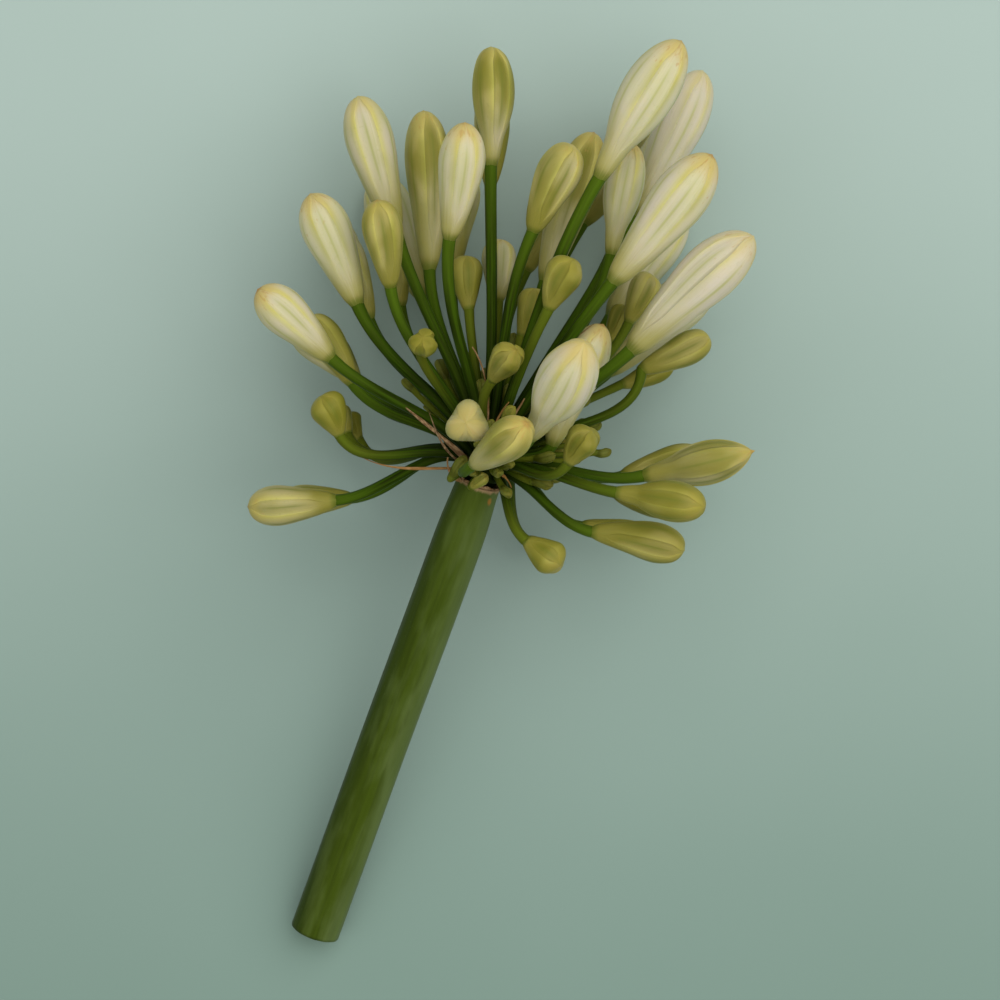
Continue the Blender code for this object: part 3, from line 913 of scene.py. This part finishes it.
def stalk_rings():
    """The stalk's rings, laid on the table at its end, and their distances down from the collar."""
    reach = STALK_END.length / 3
    end_slope = Vector((STALK_END.x, STALK_END.y, STALK_END.z * STALK_END_SLOPE)).normalized()
    centres = curve((Vector(), -AXIS * reach, STALK_END - end_slope * reach, STALK_END), STALK_ROWS)
    angles = circle(STALK_SIDES)
    rings, down = [], []
    for i, (centre, along) in enumerate(zip(centres, tangents(centres))):
        level = along.cross(UP).normalized()
        thick = level.cross(along) * STALK_FLATNESS
        radius = STALK_RADIUS - STALK_NARROWING * math.exp(-((centre.length / STALK_NARROWING_LENGTH) ** 2))
        twist = i * STALK_TWIST
        ribs = 1 + STALK_RIB_DEPTH * np.cos(STALK_RIBS * angles + twist)
        ribs += STALK_BULGE_DEPTH * np.sin(STALK_BULGES * angles - BULGE_TWIST * twist)
        across = np.outer(np.cos(angles), level) + np.outer(np.sin(angles), thick)
        rings.append(np.array(centre) + across * radius * ribs[:, None])
        down.append(down[-1] + (centre - centres[i - 1]).length if i else 0)
    grid = np.array(rings)
    sink = grid[..., 2].min() - TABLE
    grid[..., 2] -= sink * np.linspace(0, 1, STALK_ROWS)[:, None] ** 2
    return grid, np.array(down)


def with_cut_faces(grid, shares):
    """The grid with rings added inside its first and last ring, so that both ends are flat faces."""
    top, end = grid[:1], grid[-1:]
    top_rings = [between(top.mean(axis=1, keepdims=True), top, share) for share in reversed(shares)]
    end_rings = [between(end.mean(axis=1, keepdims=True), end, share) for share in shares]
    return np.concatenate([*top_rings, grid, *end_rings])


def make_stalk(name, material):
    rings, down = stalk_rings()
    extra = len(CUT_RINGS)
    grid = with_cut_faces(rings, CUT_RINGS)
    angles = circle(STALK_SIDES)
    down = np.concatenate([np.zeros(extra), down, np.full(extra, down[-1])])[:, None]
    cut = np.concatenate([np.zeros(extra + STALK_ROWS), np.ones(extra)])[:, None]
    radial = np.concatenate([CUT_RINGS[::-1], np.ones(STALK_ROWS), CUT_RINGS])[:, None]
    scar = np.linalg.norm((grid - np.array(SCAR_AT)) * SCAR_STRETCH, axis=-1)
    values = {
        "along": down,
        "cut": cut,
        "radial": radial,
        # Which way each point faces round the stalk, -1 on its left to 1 on its right, for the painted shade
        # and light on its sides
        "side": -np.cos(angles),
        "scar": hump(scar, SCAR_SIZE),
        "grain": grain_at(angles, STALK_RADIUS * radial, down),
    }
    return one_grid(name, material, grid, values)


# Materials


class Graph:
    """A material's nodes, with short ways to add them and join them up."""

    def __init__(self, name, colour):
        self.material = bpy.data.materials.new(name)
        self.material.use_nodes = True
        self.tree = self.material.node_tree
        self.shader = self.tree.nodes["Principled BSDF"]
        self.material.diffuse_color = (*colour, 1)

    def feed(self, socket, value):
        if isinstance(value, bpy.types.NodeSocket):
            self.tree.links.new(value, socket)
        elif isinstance(value, tuple) and len(value) == 3 and socket.type == "RGBA":
            socket.default_value = (*value, 1)
        else:
            socket.default_value = value

    def set(self, **sockets):
        """Sets shader inputs by name, with _ for a space."""
        for name, value in sockets.items():
            self.feed(self.shader.inputs[name.replace("_", " ")], value)

    def node(self, kind, inputs, **settings):
        """A new node of a kind, with its settings and its inputs, which go by name or by place."""
        node = self.tree.nodes.new("ShaderNode" + kind)
        for name, value in settings.items():
            setattr(node, name, value)
        for key, value in inputs.items():
            self.feed(node.inputs[key], value)
        return node

    def attribute(self, name, output="Fac"):
        return self.node("Attribute", {}, attribute_name=name).outputs[output]

    def math(self, operation, a, b):
        return self.node("Math", {0: a, 1: b}, operation=operation).outputs[0]

    def times(self, product, *others):
        for other in others:
            product = self.math("MULTIPLY", product, other)
        return product

    def plus(self, a, b):
        return self.math("ADD", a, b)

    def rest(self, value):
        """What the value leaves of 1."""
        return self.math("SUBTRACT", 1, value)

    def swayed(self, value, pattern, amount):
        """The value, moved up and down by an amount as a pattern goes above and below a half."""
        return self.plus(value, self.times(self.math("SUBTRACT", pattern, 0.5), amount))

    def smooth(self, value, low, high):
        """A smooth step from 0 at low to 1 at high; low may be the greater."""
        inputs = {0: value, 1: min(low, high), 2: max(low, high)}
        step = self.node("MapRange", inputs, interpolation_type="SMOOTHSTEP").outputs[0]
        return self.rest(step) if low > high else step

    def mix(self, share, a, b, most=1):
        """Colour a, with a share, up to the most given, of colour b over it."""
        if most != 1:
            share = self.times(share, most)
        return self.node("Mix", {0: share, 6: a, 7: b}, data_type="RGBA").outputs[2]

    def noise(self, vector, scale, detail):
        inputs = {"Vector": vector, "Scale": scale, "Detail": detail}
        return self.node("TexNoise", inputs).outputs["Fac"]

    def streaks(self, across, along, detail):
        """Noise that follows the grain, with its scales, per millimetre, across and along it."""
        inputs = {0: self.attribute("grain", "Vector"), 1: (across, across, along)}
        scaled = self.node("VectorMath", inputs, operation="MULTIPLY").outputs[0]
        return self.noise(scaled, 1, detail)

    def bump(self, height, distance, strength):
        """Bumps by a height, with their distance in metres."""
        inputs = {"Height": height, "Distance": distance, "Strength": strength}
        self.set(Normal=self.node("Bump", inputs).outputs["Normal"])


def tepal_colour(g, along, veins, patches):
    """The tepals before their margins and ribs: olive, khaki or white as they ripen, darker at the foot."""
    ripe = g.swayed(g.attribute("tone"), along, g.attribute("ripening"))
    ripe = g.swayed(ripe, patches, 0.35)
    oldest = g.smooth(ripe, 1.05, 1.4)
    white = g.mix(g.math("MAXIMUM", g.smooth(patches, 0.35, 0.7), oldest), TEPAL_WHITE, TEPAL_BLUSH)
    young = g.mix(g.smooth(ripe, 0, 0.6), TEPAL_YOUNG, TEPAL_KHAKI)
    young = g.mix(g.times(g.smooth(patches, 0.46, 0.62), g.smooth(ripe, 0.15, 0.5)), young, TEPAL_BEIGE)
    whiteness = g.smooth(ripe, 0.42, 0.95)
    colour = g.mix(whiteness, young, white)
    panel = g.times(g.attribute("panel"), g.smooth(along, 0.2, 0.6), g.smooth(ripe, 0.4, 0.8))
    panel = g.times(panel, g.rest(g.times(oldest, 0.7)))
    colour = g.mix(panel, colour, PANEL_CREAM, 0.3)
    foot = g.swayed(g.swayed(along, veins, 0.25), g.attribute("across"), 0.14)
    foot_colour = g.mix(whiteness, FOOT_GREEN, FOOT_KHAKI)
    foot_colour = g.mix(g.smooth(along, 0.12, 0), foot_colour, FOOT_GREEN)
    colour = g.mix(g.smooth(foot, 0.5, 0.05), colour, foot_colour, 0.92)
    colour = g.mix(g.smooth(g.attribute("tone"), 0.14, 0.05), colour, TEPAL_LATE)
    joint = g.smooth(g.swayed(along, veins, 0.06), 0.075, 0)
    return g.mix(joint, colour, JOINT_GREEN, 0.8)


def with_ribs(g, colour, rib_colour, along, veins, patches):
    rib = g.times(g.smooth(along, 0.95, 0.7), g.smooth(along, 0.15, 0.5), g.attribute("rib"))
    colour = g.mix(rib, colour, rib_colour, g.plus(0.45, g.times(patches, 0.5)))
    return g.mix(g.smooth(veins, 0.48, 0.72), colour, rib_colour, 0.18)


def less_when_old(g, value, amount):
    """The value, weaker by an amount in the very oldest buds."""
    return g.times(value, g.rest(g.times(g.smooth(g.attribute("tone"), 1.05, 1.3), amount)))


def with_margins(g, colour, along, patches):
    """The tepals' margins over the colour: yellow-green, and wider and more golden at the tip."""
    tone = g.attribute("tone")
    near_tip = g.smooth(along, 0.62, 0.96)
    age = g.smooth(tone, -0.05, 0.75)
    shown = g.times(g.attribute("margin"), g.smooth(along, 0.1, 0.55), g.plus(0.35, g.times(patches, 0.55)))
    shown = g.times(shown, g.plus(0.15, g.times(age, 0.85)))
    outside = g.times(g.rest(g.attribute("panel")), g.times(near_tip, 0.28), age)
    shown = g.math("MINIMUM", g.plus(g.times(shown, g.plus(1, g.times(near_tip, 0.7))), outside), 0.92)
    line = g.mix(g.smooth(patches, 0.42, 0.58), MARGIN_OLIVE, MARGIN_YELLOW)
    gold = g.mix(g.smooth(tone, 0.25, 0.7), YOUNG_GOLD, MARGIN_GOLD)
    return g.mix(less_when_old(g, shown, 0.35), colour, g.mix(near_tip, line, gold))


def with_tip(g, colour, rib_colour, along, veins):
    """A golden tip with rusty spots and a brown point, and a few green bruises all over."""
    tone, fleck = g.attribute("tone"), g.attribute("fleck")
    grown = g.smooth(tone, 0, 0.65)
    gold = g.smooth(g.plus(along, g.times(veins, 0.08)), 0.87, 1.02)
    gold = less_when_old(g, g.times(gold, g.plus(0.4, g.times(fleck, 0.5))), 0.5)
    colour = g.mix(g.times(gold, grown), colour, g.mix(g.smooth(tone, 0.3, 0.75), YOUNG_GOLD, TIP_GOLD))
    spots = g.smooth(g.plus(g.streaks(0.9, 0.5, 2), g.times(along, 0.6)), 1.12, 1.24)
    rust = g.times(spots, g.smooth(fleck, 0.1, 0.7))
    colour = g.mix(g.times(rust, grown), colour, TIP_RUST, 0.5)
    bruises = g.smooth(g.streaks(1.1, 0.9, 3), 0.58, 0.75)
    colour = g.mix(bruises, colour, rib_colour, 0.16)
    brown = g.times(g.smooth(along, 0.985, 1), g.smooth(fleck, 0.3, 1))
    return g.mix(g.times(brown, grown), colour, TIP_BROWN, 0.8)


def tepal_material():
    g = Graph("tepal", TEPAL_WHITE)
    along = g.attribute("along")
    veins = g.streaks(2.2, 0.06, 4)
    patches = g.streaks(0.12, 0.06, 2)
    rib_colour = g.mix(g.smooth(g.attribute("tone"), 0.45, 0.9), RIB_OLIVE, RIB_GREEN)
    colour = tepal_colour(g, along, veins, patches)
    colour = with_ribs(g, colour, rib_colour, along, veins, patches)
    colour = with_margins(g, colour, along, patches)
    colour = with_tip(g, colour, rib_colour, along, veins)
    g.set(Base_Color=colour, Roughness=g.plus(0.36, g.times(veins, 0.14)), Specular_IOR_Level=0.5)
    g.set(Specular_Tint=WAX_GLOSS, IOR=1.37)
    g.set(Subsurface_Weight=0.45, Subsurface_Radius=(1, 0.8, 0.4), Subsurface_Scale=0.0025)
    cells = g.streaks(6, 1.6, 2)
    g.bump(g.plus(veins, g.times(cells, 0.3)), 0.00012, 0.6)
    return g.material


def pedicel_material():
    g = Graph("pedicel", STEM_GREEN)
    along = g.attribute("along")
    streaks = g.streaks(1.5, 0.08, 3)
    colour = g.mix(g.smooth(streaks, 0.3, 0.7), STEM_DARK, STEM_GREEN)
    pale = g.plus(g.smooth(along, 0.6, 1), g.times(g.attribute("tone"), 0.5))
    colour = g.mix(pale, colour, STEM_PALE, 0.45)
    young = g.times(g.smooth(g.attribute("age"), 0.4, 0.05), g.smooth(along, 0.3, 0.95))
    colour = g.mix(young, colour, STEM_OLIVE, 0.75)
    # Painted shade: the pedicels darken towards their roots, and the receptacle is darkest, where the heart
    # of the umbel lies in shade
    colour = g.mix(g.smooth(along, 0.55, 0.05), colour, STEM_DARK, 0.9)
    g.set(Base_Color=colour, Roughness=g.plus(0.38, g.times(streaks, 0.16)), Specular_IOR_Level=0.35)
    g.set(Specular_Tint=LEAF_GLOSS, IOR=1.3)
    g.bump(streaks, 0.0001, 0.5)
    return g.material


def stalk_material():
    g = Graph("stalk", STALK_GREEN)
    along = g.attribute("along")
    streaks = g.streaks(0.9, 0.03, 5)
    clouds = g.streaks(0.3, 0.07, 3)
    colour = g.mix(g.smooth(streaks, 0.1, 0.62), STALK_DARK, STALK_GREEN)
    colour = g.mix(g.smooth(along, 45, 0), colour, STALK_LIGHT, 0.35)
    # Painted shade and light: the stalk's left side darker and its right side paler, as if light falls from
    # the right
    side = g.swayed(g.attribute("side"), clouds, 0.8)
    colour = g.mix(g.smooth(side, 0.1, -0.8), colour, STALK_DARK, 0.65)
    colour = g.mix(g.smooth(side, 0.1, 1), colour, STALK_BLOOM_AND_LIT_SIDE, 0.75)
    colour = g.mix(g.smooth(clouds, 0.42, 0.75), colour, STALK_BLOOM_AND_LIT_SIDE, 0.28)
    specks = g.smooth(g.streaks(3, 1.2, 1), 0.68, 0.78)
    colour = g.mix(specks, colour, STALK_LIGHT, 0.3)
    edge = g.smooth(g.plus(along, g.times(streaks, 1.6)), 1.9, 0.9)
    colour = g.mix(edge, colour, PAPER_TAN)
    scar = g.smooth(g.plus(g.attribute("scar"), g.times(streaks, 0.3)), 0.5, 0.8)
    colour = g.mix(scar, colour, PAPER_ORANGE)
    colour = g.mix(g.attribute("cut"), colour, cut_face_colour(g))
    g.set(Base_Color=colour, Roughness=g.plus(0.38, g.times(clouds, 0.2)), Specular_IOR_Level=0.5)
    g.set(Specular_Tint=LEAF_GLOSS, IOR=1.3, Sheen_Weight=0.02, Sheen_Roughness=0.5)
    g.bump(g.plus(streaks, g.times(specks, 0.3)), 0.00018, 0.6)
    return g.material


def cut_face_colour(g):
    """The cut end: pale pith with darker bundles, inside a green rind."""
    dots = g.smooth(g.streaks(1.3, 0, 1), 0.56, 0.68)
    pith = g.mix(dots, PITH, BUNDLE_GREEN, 0.45)
    pith = g.mix(g.smooth(g.attribute("radial"), 0.3, 0.95), pith, BUNDLE_GREEN, 0.5)
    return g.mix(g.smooth(g.attribute("radial"), 0.86, 0.97), pith, STALK_GREEN)


def paper_material():
    g = Graph("dry_paper", PAPER_TAN)
    fibres = g.streaks(1.5, 0.6, 4)
    colour = g.mix(g.smooth(fibres, 0.35, 0.7), PAPER_BROWN, PAPER_TAN)
    colour = g.mix(g.attribute("tone"), colour, PAPER_ORANGE, 0.8)
    g.set(Base_Color=colour, Roughness=0.8, Specular_IOR_Level=0.3)
    g.bump(fibres, 0.00015, 0.7)
    return g.material


def floor_material():
    """A pale sage floor with painted light: paler at the top of the frame and darker towards the bottom, as
    light falls off.
    """
    g = Graph("floor", FLOOR_SAGE)
    place = g.node("TexCoord", {}).outputs["Object"]
    up = g.node("SeparateXYZ", {0: place}).outputs["Y"]
    height = g.swayed(up, g.noise(place, 9, 2), 0.05)
    colour = g.mix(g.smooth(height, -0.16, 0.16), FLOOR_SAGE, FLOOR_PALE)
    g.set(Base_Color=colour, Roughness=0.9, Specular_IOR_Level=0.2)
    return g.material


# The studio


def make_floor():
    bpy.ops.mesh.primitive_plane_add(size=FLOOR_SIZE)
    floor = bpy.context.object
    floor.name = "floor"
    floor.data.materials.append(floor_material())


def add_light(name, at, size, power, colour):
    data = bpy.data.lights.new(name, "AREA")
    data.size = size
    data.energy = power
    data.color = colour
    light = add_object(name, data)
    light.location = at
    light.rotation_euler = (LIGHT_AIM - Vector(at)).to_track_quat("-Z", "Y").to_euler()


def make_world():
    world = bpy.data.worlds.new("studio")
    world.use_nodes = True
    background = world.node_tree.nodes["Background"]
    background.inputs["Color"].default_value = WORLD_COLOUR
    background.inputs["Strength"].default_value = WORLD_STRENGTH
    bpy.context.scene.world = world


def make_camera():
    """Straight above, so that the lying head is seen as it is in the photo, from its side."""
    data = bpy.data.cameras.new("camera")
    data.sensor_width = SENSOR_WIDTH
    data.lens = SENSOR_WIDTH * CAMERA_HEIGHT / FRAME_WIDTH
    camera = add_object("camera", data)
    camera.location = (0, 0, CAMERA_HEIGHT + FRAME_PLANE)
    bpy.context.scene.camera = camera


def finish_piece(obj, slot, *nodes):
    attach(obj, "root")
    if nodes:
        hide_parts(*nodes)


def make_flower():
    tepal, green, paper = tepal_material(), pedicel_material(), paper_material()
    near = CROWN + FLANK + SKIRT + FACE + HEART
    far = far_florets(near + RESTING, CROWN + FLANK + SKIRT + FACE)
    resting = [settled(bud) for bud in RESTING]
    late = LATE + late_florets(near + far + resting)
    groups = {"crown": CROWN, "flank": FLANK, "face": FACE, "heart": HEART}
    groups.update({"late": late, "far": far, "skirt": SKIRT})
    umbel = []
    for seed, (name, buds) in enumerate(groups.items()):
        umbel.append(make_group(f"buds_{name}", buds, tepal, seed))
    umbel.append(resting_group("buds_resting", resting, tepal))
    umbel.append(make_group("pedicels", near + late + far + resting, green, PEDICEL_SEED, add_pedicel))
    umbel.append(make_receptacle("receptacle", green))
    for obj in umbel:
        finish_piece(obj, "buds", "umbel")
    finish_piece(make_stalk("stalk", stalk_material()), "stalk", "scape")
    finish_piece(make_rim("spathe_rim", paper), "dry_paper", "spathe_remains")
    finish_piece(make_threads("bracteoles", paper), "dry_paper")


def main():
    make_camera()
    make_world()
    for light in LIGHTS:
        add_light(*light)
    make_floor()
    make_flower()
    bpy.context.scene.view_settings.view_transform = "Standard"


main()
